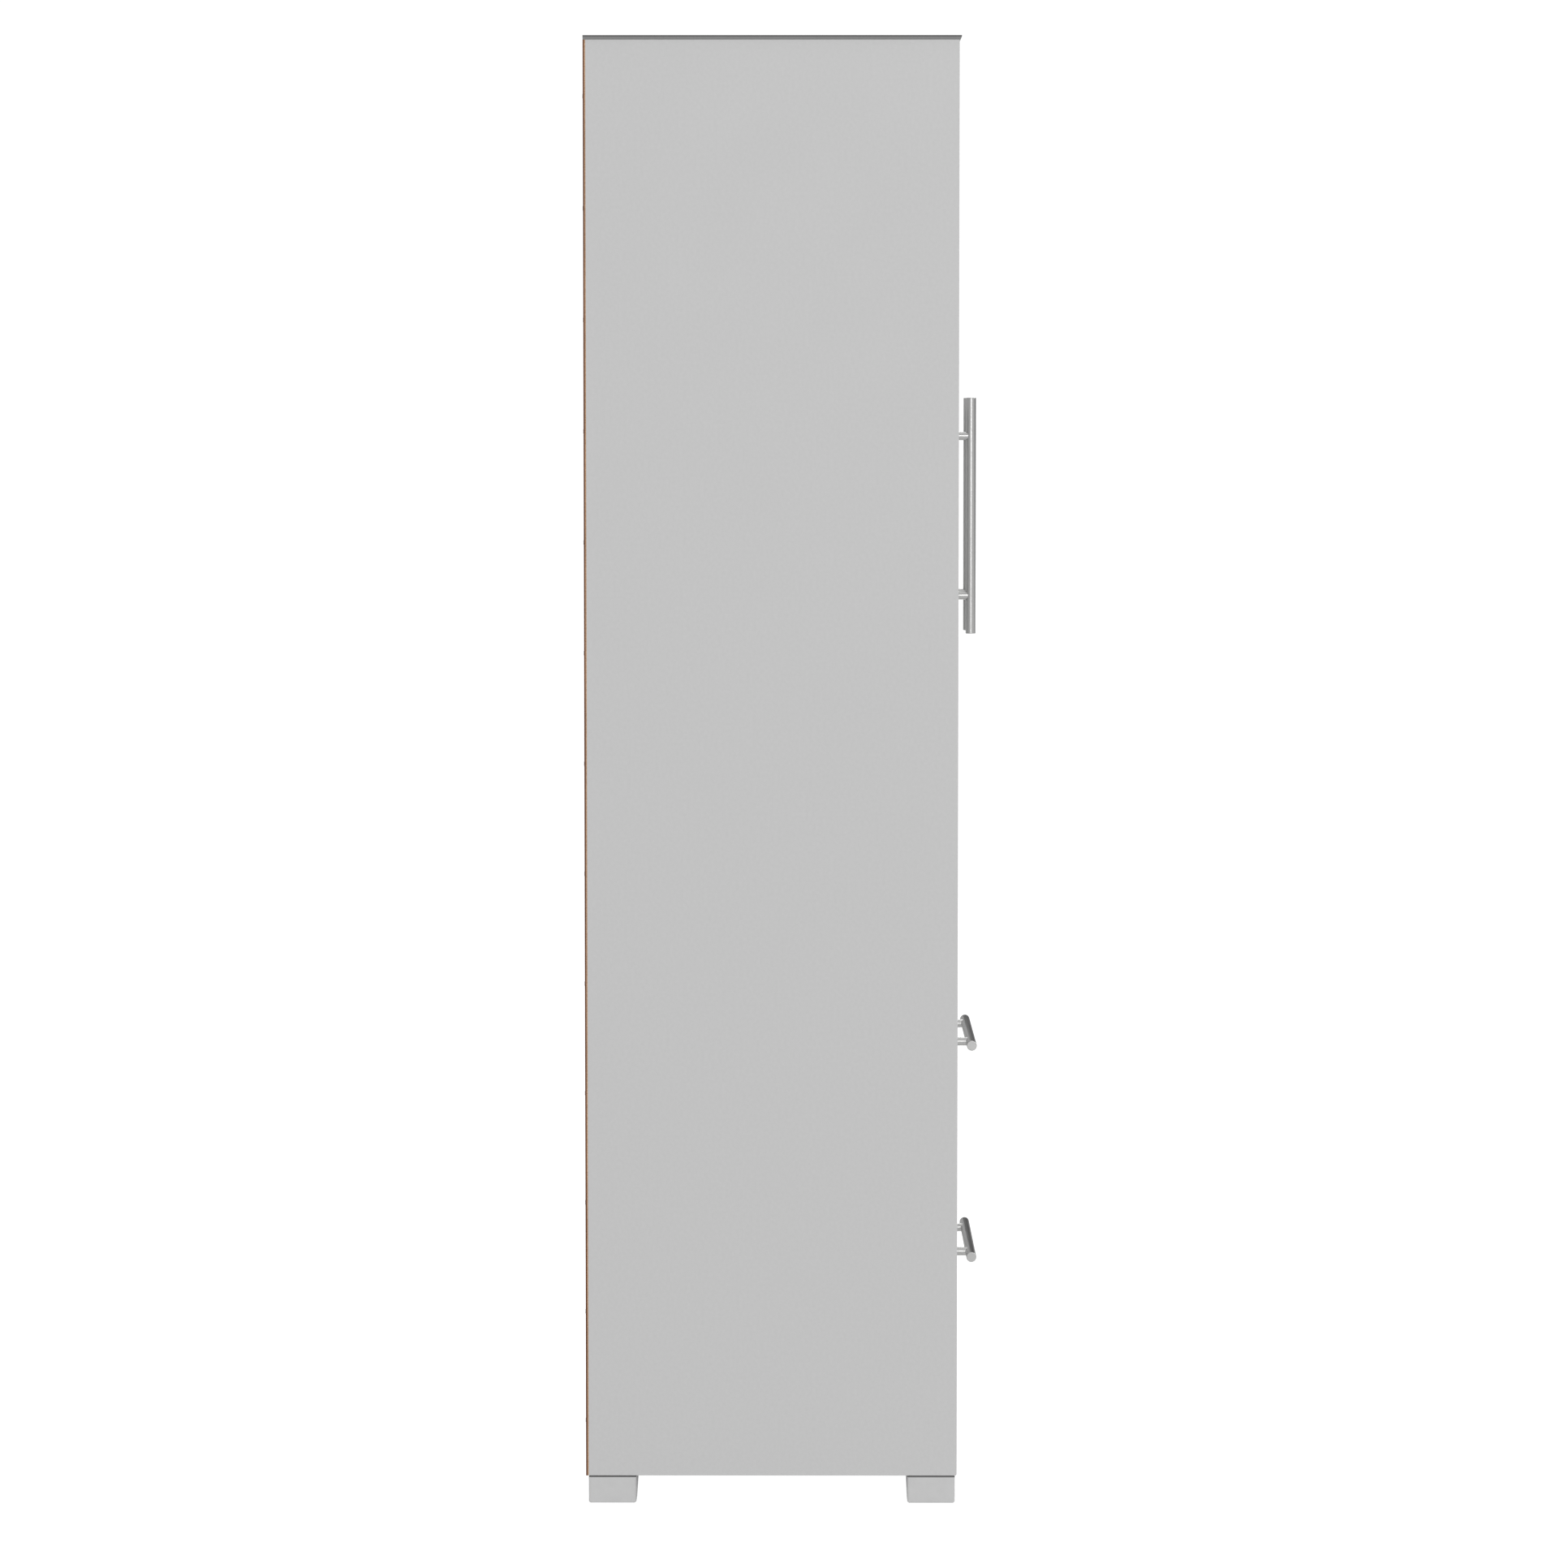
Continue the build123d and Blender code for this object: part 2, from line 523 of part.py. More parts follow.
# ---------------------------------------------------------------- handles
def handle(x, z, upright):
    """Bar, two posts and their screw shanks for a handle centred on (x, z) of a front."""
    def along(offset):
        return (x, z + offset) if upright else (x + offset, z)

    half = BAR_LENGTH / 2
    if upright:
        bar = rod_z(x, -BAR_OFFSET, z - half, z + half, BAR_RADIUS)
    else:
        bar = rod_x(x - half, x + half, -BAR_OFFSET, z, BAR_RADIUS)
    bar = fillet(bar.edges().filter_by(GeomType.CIRCLE), BAR_END_EASE)
    posts, screws, bores = [], [], []
    for step in (-0.5, 0.5):
        px, pz = along(step * POST_SPACING)
        shank = rod_y(px, -SCREW_BITE, BOARD, pz, SCREW_RADIUS)
        posts.append(rod_y(px, -BAR_OFFSET, 0, pz, POST_RADIUS) - bar - shank)
        screws.append(shank + screw_head(px, BOARD, pz, "back", SCREW_HEAD_RADIUS, SCREW_HEAD))
        bores.append(rod_y(px, 0, BOARD, pz, SCREW_RADIUS + SCREW_CLEARANCE))
    return [bar] + posts, screws, bores


# ---------------------------------------------------------------- doors, pivot hinges and catches
def pivot_screw(x, y, face_z, way):
    ends = sorted((face_z - way * PIVOT_PLATE, face_z + way * CHIP_SCREW_LENGTH))
    return rod_z(x, y, *ends, CHIP_SCREW_RADIUS)


def pivot_plate(side, face_z, way):
    """Flat steel plate on a board, with the pin that the door turns on."""
    x = from_side(side, PIVOT_FROM_SIDE)
    half = PIVOT_PLATE_WIDTH / 2
    z0, z1 = sorted((face_z, face_z - way * PIVOT_PLATE))
    plate = block(x - half, x + half, PIVOT_PLATE_SETBACK, PIVOT_PLATE_END, z0, z1)
    plate = fillet(plate.edges().filter_by(Axis.Z), PLATE_ROUND)
    tip = face_z - way * (PIVOT_PLATE + PIVOT_LENGTH)
    pin = rod_z(x, PIVOT_FROM_FRONT, *sorted((face_z - way * PIVOT_PLATE / 2, tip)), PIVOT_RADIUS)
    return plate + pin - [pivot_screw(x, y, face_z, way) for y in PIVOT_SCREWS]


def pivot_bush(side, end_z, way):
    """Flanged bush in the door's end; way points from the door towards the plate."""
    x = from_side(side, PIVOT_FROM_SIDE)
    inner_z = end_z - way * BUSH_LENGTH
    outer_z = end_z + way * BUSH_RIM
    shell = rod_z(x, PIVOT_FROM_FRONT, *sorted((inner_z, outer_z)), BUSH_RADIUS)
    bore_z = sorted((inner_z + way * BUSH_FLOOR, outer_z))
    return shell - rod_z(x, PIVOT_FROM_FRONT, *bore_z, PIVOT_RADIUS + BUSH_CLEARANCE)


def make_hinges():
    for name, side in SIDES.items():
        plates = pivot_plate(side, DIVIDER_Z + BOARD, -1), pivot_plate(side, TOP_Z, 1)
        add(name + "_pivot_plates", *plates)
        add(name + "_pivot_bushes", pivot_bush(side, DOOR_Z, -1), pivot_bush(side, DOOR_TOP, 1))


def catch_screw(x):
    ends = TOP_Z - CATCH_HEIGHT, TOP_Z + CHIP_SCREW_LENGTH
    return rod_z(x, CATCH_SCREW_Y, *ends, CHIP_SCREW_RADIUS)


def make_catches():
    """Magnetic catches under the top panel and the strike plates on the doors."""
    catches = []
    rear = CATCH_FRONT + CATCH_DEPTH
    for name, side in SIDES.items():
        x = side * (GAP / 2 + CATCH_INSET)
        half = CATCH_WIDTH / 2
        body = block(x - half, x + half, CATCH_FRONT, rear, TOP_Z - CATCH_HEIGHT, TOP_Z)
        body = fillet(body.edges().filter_by(Axis.Z), PLATE_ROUND)
        catches.append(body - [catch_screw(sx) for sx in catch_screw_xs(side)])
        half = STRIKE_WIDTH / 2
        z1 = DOOR_TOP - STRIKE_DROP
        strike = block(x - half, x + half, BOARD, BOARD + STRIKE_THICK, z1 - STRIKE_HEIGHT, z1)
        strike = fillet(strike.edges().filter_by(Axis.Y), PLATE_ROUND)
        add(name + "_door_strike", strike - strike_screw(x, z1 - STRIKE_HEIGHT / 2))
    add("magnetic_catches", *catches)


def strike_screw(x, z):
    seat = BOARD + STRIKE_THICK
    return rod_y(x, seat - CHIP_SCREW_LENGTH, seat, z, CHIP_SCREW_RADIUS)


def make_doors():
    for name, side in SIDES.items():
        free_edge = side * GAP / 2
        body = eased(block(free_edge, from_side(side, SIDE_GAP), 0, BOARD, DOOR_Z, DOOR_TOP))
        handle_x = free_edge + side * DOOR_HANDLE_INSET
        bars, screws, bores = handle(handle_x, DOOR_Z + DOOR_HANDLE_HEIGHT, True)
        pivot_x = from_side(side, PIVOT_FROM_SIDE)
        for end_z, way in ((DOOR_Z, -1), (DOOR_TOP, 1)):
            span = sorted((end_z, end_z - way * BUSH_LENGTH))
            bores.append(rod_z(pivot_x, PIVOT_FROM_FRONT, *span, BUSH_RADIUS))
        strike_x = free_edge + side * CATCH_INSET
        strike_z = DOOR_TOP - STRIKE_DROP - STRIKE_HEIGHT / 2
        shank = strike_screw(strike_x, strike_z)
        bores.append(shank)
        seat = BOARD + STRIKE_THICK
        head = screw_head(strike_x, seat, strike_z, "back", height=CATCH_CLEARANCE / 2)
        screws.append(shank + head)
        add(name + "_door", body - bores)
        add(name + "_door_handle", *bars)
        add(name + "_door_screws", *screws)


# ---------------------------------------------------------------- drawers and roller runners
def make_drawer(name, front_z):
    low = front_z + DRAWER_RISE
    high = front_z + DRAWER_FRONT_HEIGHT - DRAWER_DROP
    outer = INNER - RUNNER_SPACE
    inner = outer - DRAWER_SIDE
    sheet_z = low + GROOVE_RISE
    slot_z = sheet_z + DRAWER_SHEET + GROOVE_PLAY

    front_half = INNER - SIDE_GAP
    front = block(-front_half, front_half, 0, BOARD, front_z, front_z + DRAWER_FRONT_HEIGHT)
    bars, screws, bores = handle(0.0, front_z + DRAWER_FRONT_HEIGHT / 2, False)
    groove_half = inner + GROOVE_DEPTH
    groove = block(-groove_half, groove_half, BOARD - GROOVE_DEPTH, BOARD, sheet_z, slot_z)
    add(name + "_drawer_front", eased(front) - bores - groove)
    add(name + "_drawer_handle", *bars)
    for side_name, side in SIDES.items():
        wall = block(side * inner, side * outer, BOARD, DRAWER_REAR, low, high)
        slot = block(side * inner, side * groove_half, BOARD, DRAWER_REAR, sheet_z, slot_z)
        holes = [rail_screw_shank(side, y, low) for y in RAIL_SCREWS]
        add(name + "_drawer_" + side_name + "_side", wall - slot - holes)
        for y in RAIL_SCREWS:
            x = from_side(side, RUNNER_SPACE + DRAWER_SIDE / 2)
            head = screw_head(x, y, low - RUNNER_SHEET, "down")
            screws.append(rail_screw_shank(side, y, low) + head)
    back_z = sheet_z + DRAWER_SHEET
    rear_wall = block(-inner, inner, DRAWER_REAR - DRAWER_SIDE, DRAWER_REAR, back_z, high)
    add(name + "_drawer_back", rear_wall)
    sheet_half = groove_half - SHEET_PLAY
    sheet_front = BOARD - GROOVE_DEPTH + SHEET_PLAY
    sheet = block(-sheet_half, sheet_half, sheet_front, DRAWER_REAR, sheet_z, back_z)
    add(name + "_drawer_bottom", sheet)
    add(name + "_drawer_screws", *screws)


def rail_screw_shank(side, y, low):
    x = from_side(side, RUNNER_SPACE + DRAWER_SIDE / 2)
    return rod_z(x, y, low - RUNNER_SHEET, low + RAIL_SCREW_BITE, CHIP_SCREW_RADIUS)


def axle(side, ends, y, z, head_outward):
    """Axle between two distances from the side panel, with a head at its second end."""
    head_end = ends[1] + head_outward * AXLE_HEAD
    pin = rod_x(from_side(side, ends[0]), from_side(side, ends[1]), y, z, AXLE_RADIUS)
    head = rod_x(from_side(side, ends[1]), from_side(side, head_end), y, z, AXLE_HEAD_RADIUS)
    return pin + head


def make_runners(name, front_z):
    """Cabinet rail with a roller at its front, drawer rail with a roller at its rear."""
    sheet = RUNNER_SHEET
    low = front_z + DRAWER_RISE
    rear_axis_z = rear_axis_height(front_z)
    track_z = rear_axis_z - ROLLER_RADIUS - ROLLER_LIFT          # top of the cabinet rail's track
    lip_z = rear_axis_z + ROLLER_RADIUS + 2 * ROLLER_LIFT        # underside of its upper lip
    rider_z = lip_z + sheet + LIP_GAP                            # underside of the drawer rail's lip
    front_axis_z = rider_z - ROLLER_LIFT - ROLLER_RADIUS
    web_u = RUNNER_SPACE - sheet
    lip_u = web_u - LIP_GAP
    rider_u = sheet + LIP_GAP
    foot_u = RUNNER_SPACE + DRAWER_SIDE
    roller_u = sheet + ROLLER_PLAY
    roller_end = roller_u + ROLLER_WIDTH
    front_y = RUNNER_START + ROLLER_INSET
    rear_y = BOARD + RUNNER_LENGTH - ROLLER_INSET

    cabinet_rails, drawer_rails, front_rollers, rear_rollers = [], [], [], []
    for side in SIDES.values():
        section = [(0, track_z - sheet), (lip_u, track_z - sheet), (lip_u, track_z), (sheet, track_z),
                   (sheet, lip_z), (lip_u, lip_z), (lip_u, lip_z + sheet), (0, lip_z + sheet)]
        rail = run_y([(from_side(side, u), z) for u, z in section], RUNNER_START, RUNNER_END)
        mouth = block(from_side(side, sheet), from_side(side, RUNNER_SPACE), RUNNER_START,
                      RUNNER_START + RUNNER_MOUTH, lip_z, lip_z + sheet)
        screws = [rod_x(from_side(side, 0), from_side(side, sheet), y, z, CHIP_SCREW_RADIUS)
                  for y, z in runner_screw_spots(front_z)]
        pin = axle(side, (0, roller_end + AXLE_PLAY), front_y, front_axis_z, 1)
        cabinet_rails.append(rail - mouth - screws + pin)

        section = [(web_u, low - sheet), (foot_u, low - sheet), (foot_u, low), (RUNNER_SPACE, low),
                   (RUNNER_SPACE, rider_z + sheet), (rider_u, rider_z + sheet), (rider_u, rider_z),
                   (web_u, rider_z)]
        rail = run_y([(from_side(side, u), z) for u, z in section], BOARD, BOARD + RUNNER_LENGTH)
        pin = axle(side, (RUNNER_SPACE, roller_u - AXLE_PLAY), rear_y, rear_axis_z, -1)
        screws = [rail_screw_shank(side, y, low) for y in RAIL_SCREWS]
        drawer_rails.append(rail + pin - screws)

        ends = from_side(side, roller_u), from_side(side, roller_end)
        bore = AXLE_RADIUS + AXLE_CLEARANCE
        front_rollers.append(rod_x(*ends, front_y, front_axis_z, ROLLER_RADIUS)
                             - rod_x(*ends, front_y, front_axis_z, bore))
        rear_rollers.append(rod_x(*ends, rear_y, rear_axis_z, ROLLER_RADIUS)
                            - rod_x(*ends, rear_y, rear_axis_z, bore))
    add(name + "_cabinet_rails", *cabinet_rails)
    add(name + "_drawer_rails", *drawer_rails)
    add(name + "_front_rollers", *front_rollers)
    add(name + "_rear_rollers", *rear_rollers)


def make_hardware_screws():
    """Screws of the runners, pivot plates, catches, cap and wall bracket."""
    screws = []
    for name, side in SIDES.items():
        inward = "right" if name == "left" else "left"
        seat = from_side(side, RUNNER_SHEET)
        for front_z in DRAWERS.values():
            for y, z in runner_screw_spots(front_z):
                shank = rod_x(from_side(side, -CHIP_SCREW_LENGTH), seat, y, z, CHIP_SCREW_RADIUS)
                screws.append(shank + screw_head(seat, y, z, inward))
        for x in catch_screw_xs(side):
            head = screw_head(x, CATCH_SCREW_Y, TOP_Z - CATCH_HEIGHT, "down")
            screws.append(catch_screw(x) + head)
    for x, y, face_z, way in pivot_screw_spots():
        head = screw_head(x, y, face_z - way * PIVOT_PLATE, "down" if way > 0 else "up")
        screws.append(pivot_screw(x, y, face_z, way) + head)
    for x, y in cap_screw_spots():
        screws.append(cap_screw(x, y) + screw_head(x, y, TOP_Z, "down"))
    for x in bracket_screw_xs():
        head = screw_head(x, BRACKET_SCREW_Y, TOP_Z - BRACKET_SHEET, "down")
        screws.append(bracket_top_screw(x) + head)
    add("hardware_screws", *screws)


# ---------------------------------------------------------------- build and write
make_sides()
make_fitted_panels()
make_plinths()
make_cap()
make_back()
make_bracket()
make_feet()
make_shelves()
make_hinges()
make_catches()
make_doors()
for drawer_name, drawer_z in DRAWERS.items():
    make_drawer(drawer_name, drawer_z)
    make_runners(drawer_name, drawer_z)
make_hardware_screws()

os.makedirs("parts", exist_ok=True)
for node_name, solids in nodes.items():
    together = Compound(children=[Compound(solid.wrapped) for solid in solids])
    export_step(solids[0] if len(solids) == 1 else together, "parts/" + node_name + ".step")
print(len(nodes), "nodes, front plane at y =", FRONT)
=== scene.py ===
import math

import bpy
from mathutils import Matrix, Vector


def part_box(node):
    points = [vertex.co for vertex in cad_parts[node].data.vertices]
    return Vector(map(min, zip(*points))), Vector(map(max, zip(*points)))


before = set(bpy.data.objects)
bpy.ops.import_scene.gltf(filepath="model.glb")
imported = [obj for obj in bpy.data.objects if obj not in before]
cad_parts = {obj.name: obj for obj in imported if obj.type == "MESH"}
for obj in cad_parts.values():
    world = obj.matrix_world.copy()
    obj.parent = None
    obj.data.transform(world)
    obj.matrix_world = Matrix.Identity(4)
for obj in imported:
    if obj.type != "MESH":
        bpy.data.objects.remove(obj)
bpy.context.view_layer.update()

MM = 0.001
scene = bpy.context.scene

# ---------------------------------------------------------------- camera
# The cabinet is looked at square on to its left side, from 6 m away and a little above its
# middle, with a long lens, so that only the handles show how wide the front is.
heading = math.radians(0.19)
tilt = math.radians(-3.925)
flat = math.cos(tilt)
gaze = Vector((math.cos(heading) * flat, math.sin(heading) * flat, math.sin(tilt)))
camera_data = bpy.data.cameras.new("camera")
camera_data.lens = 123.7
camera_data.sensor_width = 36.0
camera_data.clip_end = 100.0
camera = bpy.data.objects.new("camera", camera_data)
camera.location = (-6.554, -0.020, 1.255)
camera.rotation_mode = "QUATERNION"
camera.rotation_quaternion = gaze.to_track_quat("-Z", "Y")
scene.collection.objects.link(camera)
scene.camera = camera


# ---------------------------------------------------------------- case boards
# Sides, top, divider, bottom and plinths: 16 mm chipboard faced with melamine paper, pressed
# with a fine pearl grain that spreads the light, and edged with strips of the same grey.
def colour(text):
    """An sRGB hex value as linear RGBA."""
    parts = [int(text[i:i + 2], 16) / 255 for i in (0, 2, 4)]
    linear = [p / 12.92 if p <= 0.04045 else ((p + 0.055) / 1.055) ** 2.4 for p in parts]
    return (*linear, 1.0)


def node(tree, kind, values=(), links=(), **settings):
    """Adds a node: settings are its properties, values its sockets, links what feeds them."""
    made = tree.nodes.new(kind)
    for name, value in settings.items():
        setattr(made, name, value)
    for socket, value in dict(values).items():
        made.inputs[socket].default_value = value
    for socket, source in dict(links).items():
        tree.links.new(source, made.inputs[socket])
    return made


def finish(name, **sockets):
    """A new material: returns it with its node tree and its surface shader."""
    made = bpy.data.materials.new(name)
    made.use_nodes = True
    shader = made.node_tree.nodes["Principled BSDF"]
    for socket, value in sockets.items():
        shader.inputs[socket.replace("_", " ")].default_value = value
    return made, made.node_tree, shader


def dress(material, *names):
    """Gives CAD nodes their finish."""
    for name in names:
        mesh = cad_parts[name].data
        mesh.materials.clear()
        mesh.materials.append(material)


def grain_scale(size_mm):
    """A pattern's scale, worked out from the real size of its grain."""
    return 1 / (size_mm * MM)


def two_tone(tree, place, light, dark, grain_mm, low=0.3, high=0.7):
    """A colour that wanders between two tones over a grain of a real size."""
    grain = node(tree, "ShaderNodeTexNoise", {"Scale": grain_scale(grain_mm), "Detail": 4.0},
                 {"Vector": place})
    ramp = node(tree, "ShaderNodeValToRGB", (), {"Fac": grain.outputs["Fac"]})
    ramp.color_ramp.elements[0].position = low
    ramp.color_ramp.elements[0].color = colour(dark)
    ramp.color_ramp.elements[1].position = high
    ramp.color_ramp.elements[1].color = colour(light)
    return ramp.outputs["Color"]


def melamine(name, light, dark, rough):
    """Pearl-pressed melamine: shallow dimples 1.2 mm apart, and paper that is never quite even."""
    made, tree, shader = finish(name, IOR=1.5)
    place = node(tree, "ShaderNodeTexCoord").outputs["Object"]
    tree.links.new(two_tone(tree, place, light, dark, 4.0), shader.inputs["Base Color"])
    pearl = node(tree, "ShaderNodeTexVoronoi", {"Scale": grain_scale(1.2)}, {"Vector": place},
                 feature="SMOOTH_F1")
    bump = node(tree, "ShaderNodeBump", {"Strength": 0.15, "Distance": 0.03 * MM},
                {"Height": pearl.outputs["Distance"]})
    tree.links.new(bump.outputs["Normal"], shader.inputs["Normal"])
    smear = node(tree, "ShaderNodeTexNoise", {"Scale": grain_scale(90), "Detail": 3.0},
                 {"Vector": place})
    sheen = node(tree, "ShaderNodeMapRange", {"To Min": rough - 0.04, "To Max": rough + 0.06},
                 {"Value": smear.outputs["Fac"]})
    tree.links.new(sheen.outputs["Result"], shader.inputs["Roughness"])
    return made


grey_melamine = melamine("light_grey_melamine", "C8C8C8", "C5C5C5", 0.42)
dress(grey_melamine, "left_side", "right_side", "top_panel", "divider_shelf", "bottom_panel",
      "front_plinth", "rear_plinth")

# ---------------------------------------------------------------- cap
# Thin cap board in a darker laminate, screwed on from below: an upright lip over a bevel. A
# band 1.6 mm deep along the lip's upper edge is painted darker.
painted_dark_band = 1.6 * MM

# A Mix node's sockets go by number, since their names repeat: the factor, the two sides for
# plain numbers, the two sides for colours, and the colour that comes out.
FACTOR, NUMBER_A, NUMBER_B, COLOUR_A, COLOUR_B = 0, 2, 3, 6, 7
MIXED_COLOUR = 2


def darker_above(material, level, dark, up_faces=True):
    """Darkens a finish above a level, with or without the faces that look up."""
    blur = 0.15 * MM                             # half the height over which the tone changes
    steepest = 2.0 if up_faces else 0.5          # a normal's rise is at most 1, so 2 takes them all
    tree = material.node_tree
    shader = tree.nodes["Principled BSDF"]
    plain = shader.inputs["Base Color"].links[0].from_socket
    at = node(tree, "ShaderNodeTexCoord")
    height = node(tree, "ShaderNodeSeparateXYZ", (), {0: at.outputs["Object"]}).outputs["Z"]
    above = node(tree, "ShaderNodeMapRange", {"From Min": level - blur, "From Max": level + blur},
                 {"Value": height})
    rise = node(tree, "ShaderNodeSeparateXYZ", (), {0: at.outputs["Normal"]}).outputs["Z"]
    allowed = node(tree, "ShaderNodeMath", {1: steepest}, {0: rise}, operation="LESS_THAN")
    here = node(tree, "ShaderNodeMath", (), {0: above.outputs["Result"], 1: allowed.outputs[0]},
                operation="MULTIPLY")
    tone = node(tree, "ShaderNodeMix", {COLOUR_B: colour(dark)},
                {FACTOR: here.outputs[0], COLOUR_A: plain}, data_type="RGBA")
    tree.links.new(tone.outputs[MIXED_COLOUR], shader.inputs["Base Color"])


dark_laminate = melamine("dark_grey_laminate", "868686", "828282", 0.5)
# The top 1.6 mm of the cap's sides is painted darker; the faces that look up are left out.
darker_above(dark_laminate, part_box("top_cap")[1][2] - painted_dark_band, "505050", up_faces=False)
dress(dark_laminate, "top_cap")


# ---------------------------------------------------------------- hardboard back
# Wood fibre pressed to a 3 mm sheet and nailed on. The face towards the goods is lacquered
# pale grey; the other face and the sawn edge show brown fibre, darkest at the outer skin.
def hardboard(name, lacquer_faces, skin_axis, skin_level):
    """Hardboard lacquered on one face; the skin axis and level say where its brown face lies."""
    strand_mm = 1.6
    skin_deep, skin_full = 1.9 * MM, 1.5 * MM    # depths where the brown begins and is full
    made, tree, shader = finish(name, Roughness=0.6, IOR=1.5)
    at = node(tree, "ShaderNodeTexCoord")
    place = at.outputs["Object"]
    fine = two_tone(tree, place, "D2AE8E", "B08A68", strand_mm, 0.35, 0.65)
    cloudy = two_tone(tree, place, "FFFFFF", "DED8D2", 70.0)
    fibre = node(tree, "ShaderNodeMix", {FACTOR: 1.0}, {COLOUR_A: fine, COLOUR_B: cloudy},
                 data_type="RGBA", blend_type="MULTIPLY")
    depth = node(tree, "ShaderNodeVectorMath", {1: skin_axis}, {0: place}, operation="DOT_PRODUCT")
    outer = node(tree, "ShaderNodeMapRange",
                 {"From Min": skin_level - skin_deep, "From Max": skin_level - skin_full},
                 {"Value": depth.outputs["Value"]})
    browned = node(tree, "ShaderNodeMix", {COLOUR_B: colour("8E6840")},
                   {FACTOR: outer.outputs["Result"], COLOUR_A: fibre.outputs[MIXED_COLOUR]},
                   data_type="RGBA", blend_type="MULTIPLY")
    facing = node(tree, "ShaderNodeVectorMath", {1: lacquer_faces}, {0: at.outputs["Normal"]},
                  operation="DOT_PRODUCT")
    lacquered = node(tree, "ShaderNodeMath", {1: 0.5}, {0: facing.outputs["Value"]},
                     operation="GREATER_THAN")
    paint = two_tone(tree, place, "DADAD8", "D3D3D1", 6.0)
    face = node(tree, "ShaderNodeMix", (),
                {FACTOR: lacquered.outputs[0], COLOUR_A: browned.outputs[MIXED_COLOUR], COLOUR_B: paint},
                data_type="RGBA")
    tree.links.new(face.outputs[MIXED_COLOUR], shader.inputs["Base Color"])
    strands = node(tree, "ShaderNodeTexNoise",
                   {"Scale": grain_scale(strand_mm), "Detail": 6.0, "Distortion": 1.5},
                   {"Vector": place})
    bump = node(tree, "ShaderNodeBump", {"Strength": 0.2, "Distance": 0.08 * MM},
                {"Height": strands.outputs["Fac"]})
    tree.links.new(bump.outputs["Normal"], shader.inputs["Normal"])
    return made


rear_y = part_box("back_panel")[1][1]
dress(hardboard("lacquered_hardboard_back", (0, -1, 0), (0, 1, 0), rear_y), "back_panel")


# ---------------------------------------------------------------- feet
# Hollow brackets moulded in grey polypropylene, screwed up into the sides and plinths. The
# mould is spark eroded, which leaves a fine even texture. Painted shade greys the seam under the board.
painted_seam_shade = 2.0 * MM


def moulded(name, light, dark, rough, grain_mm=0.6):
    """A moulded, coated or turned surface: an even grain of a real size, in two close tones."""
    made, tree, shader = finish(name, Roughness=rough, IOR=1.5)
    place = node(tree, "ShaderNodeTexCoord").outputs["Object"]
    tree.links.new(two_tone(tree, place, light, dark, 12.0), shader.inputs["Base Color"])
    grain = node(tree, "ShaderNodeTexNoise", {"Scale": grain_scale(grain_mm), "Detail": 2.0},
                 {"Vector": place})
    bump = node(tree, "ShaderNodeBump", {"Strength": 0.2, "Distance": 0.04 * MM},
                {"Height": grain.outputs["Fac"]})
    tree.links.new(bump.outputs["Normal"], shader.inputs["Normal"])
    return made


foot_plastic = moulded("grey_polypropylene", "C9C9C9", "C5C5C5", 0.5)
# Painted shade: the top 2 mm of each foot is darkened where the board shades the seam.
darker_above(foot_plastic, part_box("front_left_foot")[1][2] - painted_seam_shade, "686868")
for end in ("front", "rear"):
    dress(foot_plastic, end + "_left_foot", end + "_right_foot")

# ---------------------------------------------------------------- shelves
# The same board in a paler facing. Each shelf rests on four pins, with spare holes above and
# below them.
pale_melamine = melamine("pale_grey_melamine", "DADAD9", "D6D6D5", 0.45)
dress(pale_melamine, *[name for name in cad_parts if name.startswith("pantry_shelf_")])


# ---------------------------------------------------------------- steel fixings
# Pins, nails, screws, cams, plates and the wall bracket are pressed or turned steel with a
# bright zinc plate, which is slightly cloudy and faintly blue.
def metal(name, light, dark, rough, stretch_mm):
    """Metal whose tone and shine vary in fine lines: stretch_mm is the grain's size per axis."""
    made, tree, shader = finish(name, Metallic=1.0)
    place = node(tree, "ShaderNodeTexCoord").outputs["Object"]
    grain = node(tree, "ShaderNodeVectorMath", {1: [grain_scale(size) for size in stretch_mm]},
                 {0: place}, operation="MULTIPLY")
    lines = node(tree, "ShaderNodeTexNoise", {"Scale": 1.0, "Detail": 3.0},
                 {"Vector": grain.outputs[0]})
    ramp = node(tree, "ShaderNodeValToRGB", (), {"Fac": lines.outputs["Fac"]})
    ramp.color_ramp.elements[0].color = colour(dark)
    ramp.color_ramp.elements[1].color = colour(light)
    tree.links.new(ramp.outputs["Color"], shader.inputs["Base Color"])
    gloss = node(tree, "ShaderNodeMapRange", {"To Min": rough - 0.03, "To Max": rough + 0.04},
                 {"Value": lines.outputs["Fac"]})
    tree.links.new(gloss.outputs["Result"], shader.inputs["Roughness"])
    return made


zinc = metal("bright_zinc_plate", "C9CCCE", "B4B8BB", 0.32, (1.5, 1.5, 1.5))
dress(zinc, "shelf_pins", "back_nails", "foot_screws", "cam_fittings", "wall_bracket",
      "hardware_screws", "left_pivot_plates", "right_pivot_plates")

# ---------------------------------------------------------------- dowels, bushes and catches
# Beech dowels glued across the joints, natural nylon bushes pressed into the doors' ends and
# magnetic catches in white ABS.
dress(moulded("turned_beech", "C9A77C", "B8935F", 0.6, 1.5), "dowels")
nylon = moulded("natural_nylon", "E2DFD5", "D8D5CB", 0.45)
dress(nylon, "left_pivot_bushes", "right_pivot_bushes")
dress(moulded("white_abs", "E3E3E0", "DEDEDB", 0.35), "magnetic_catches")

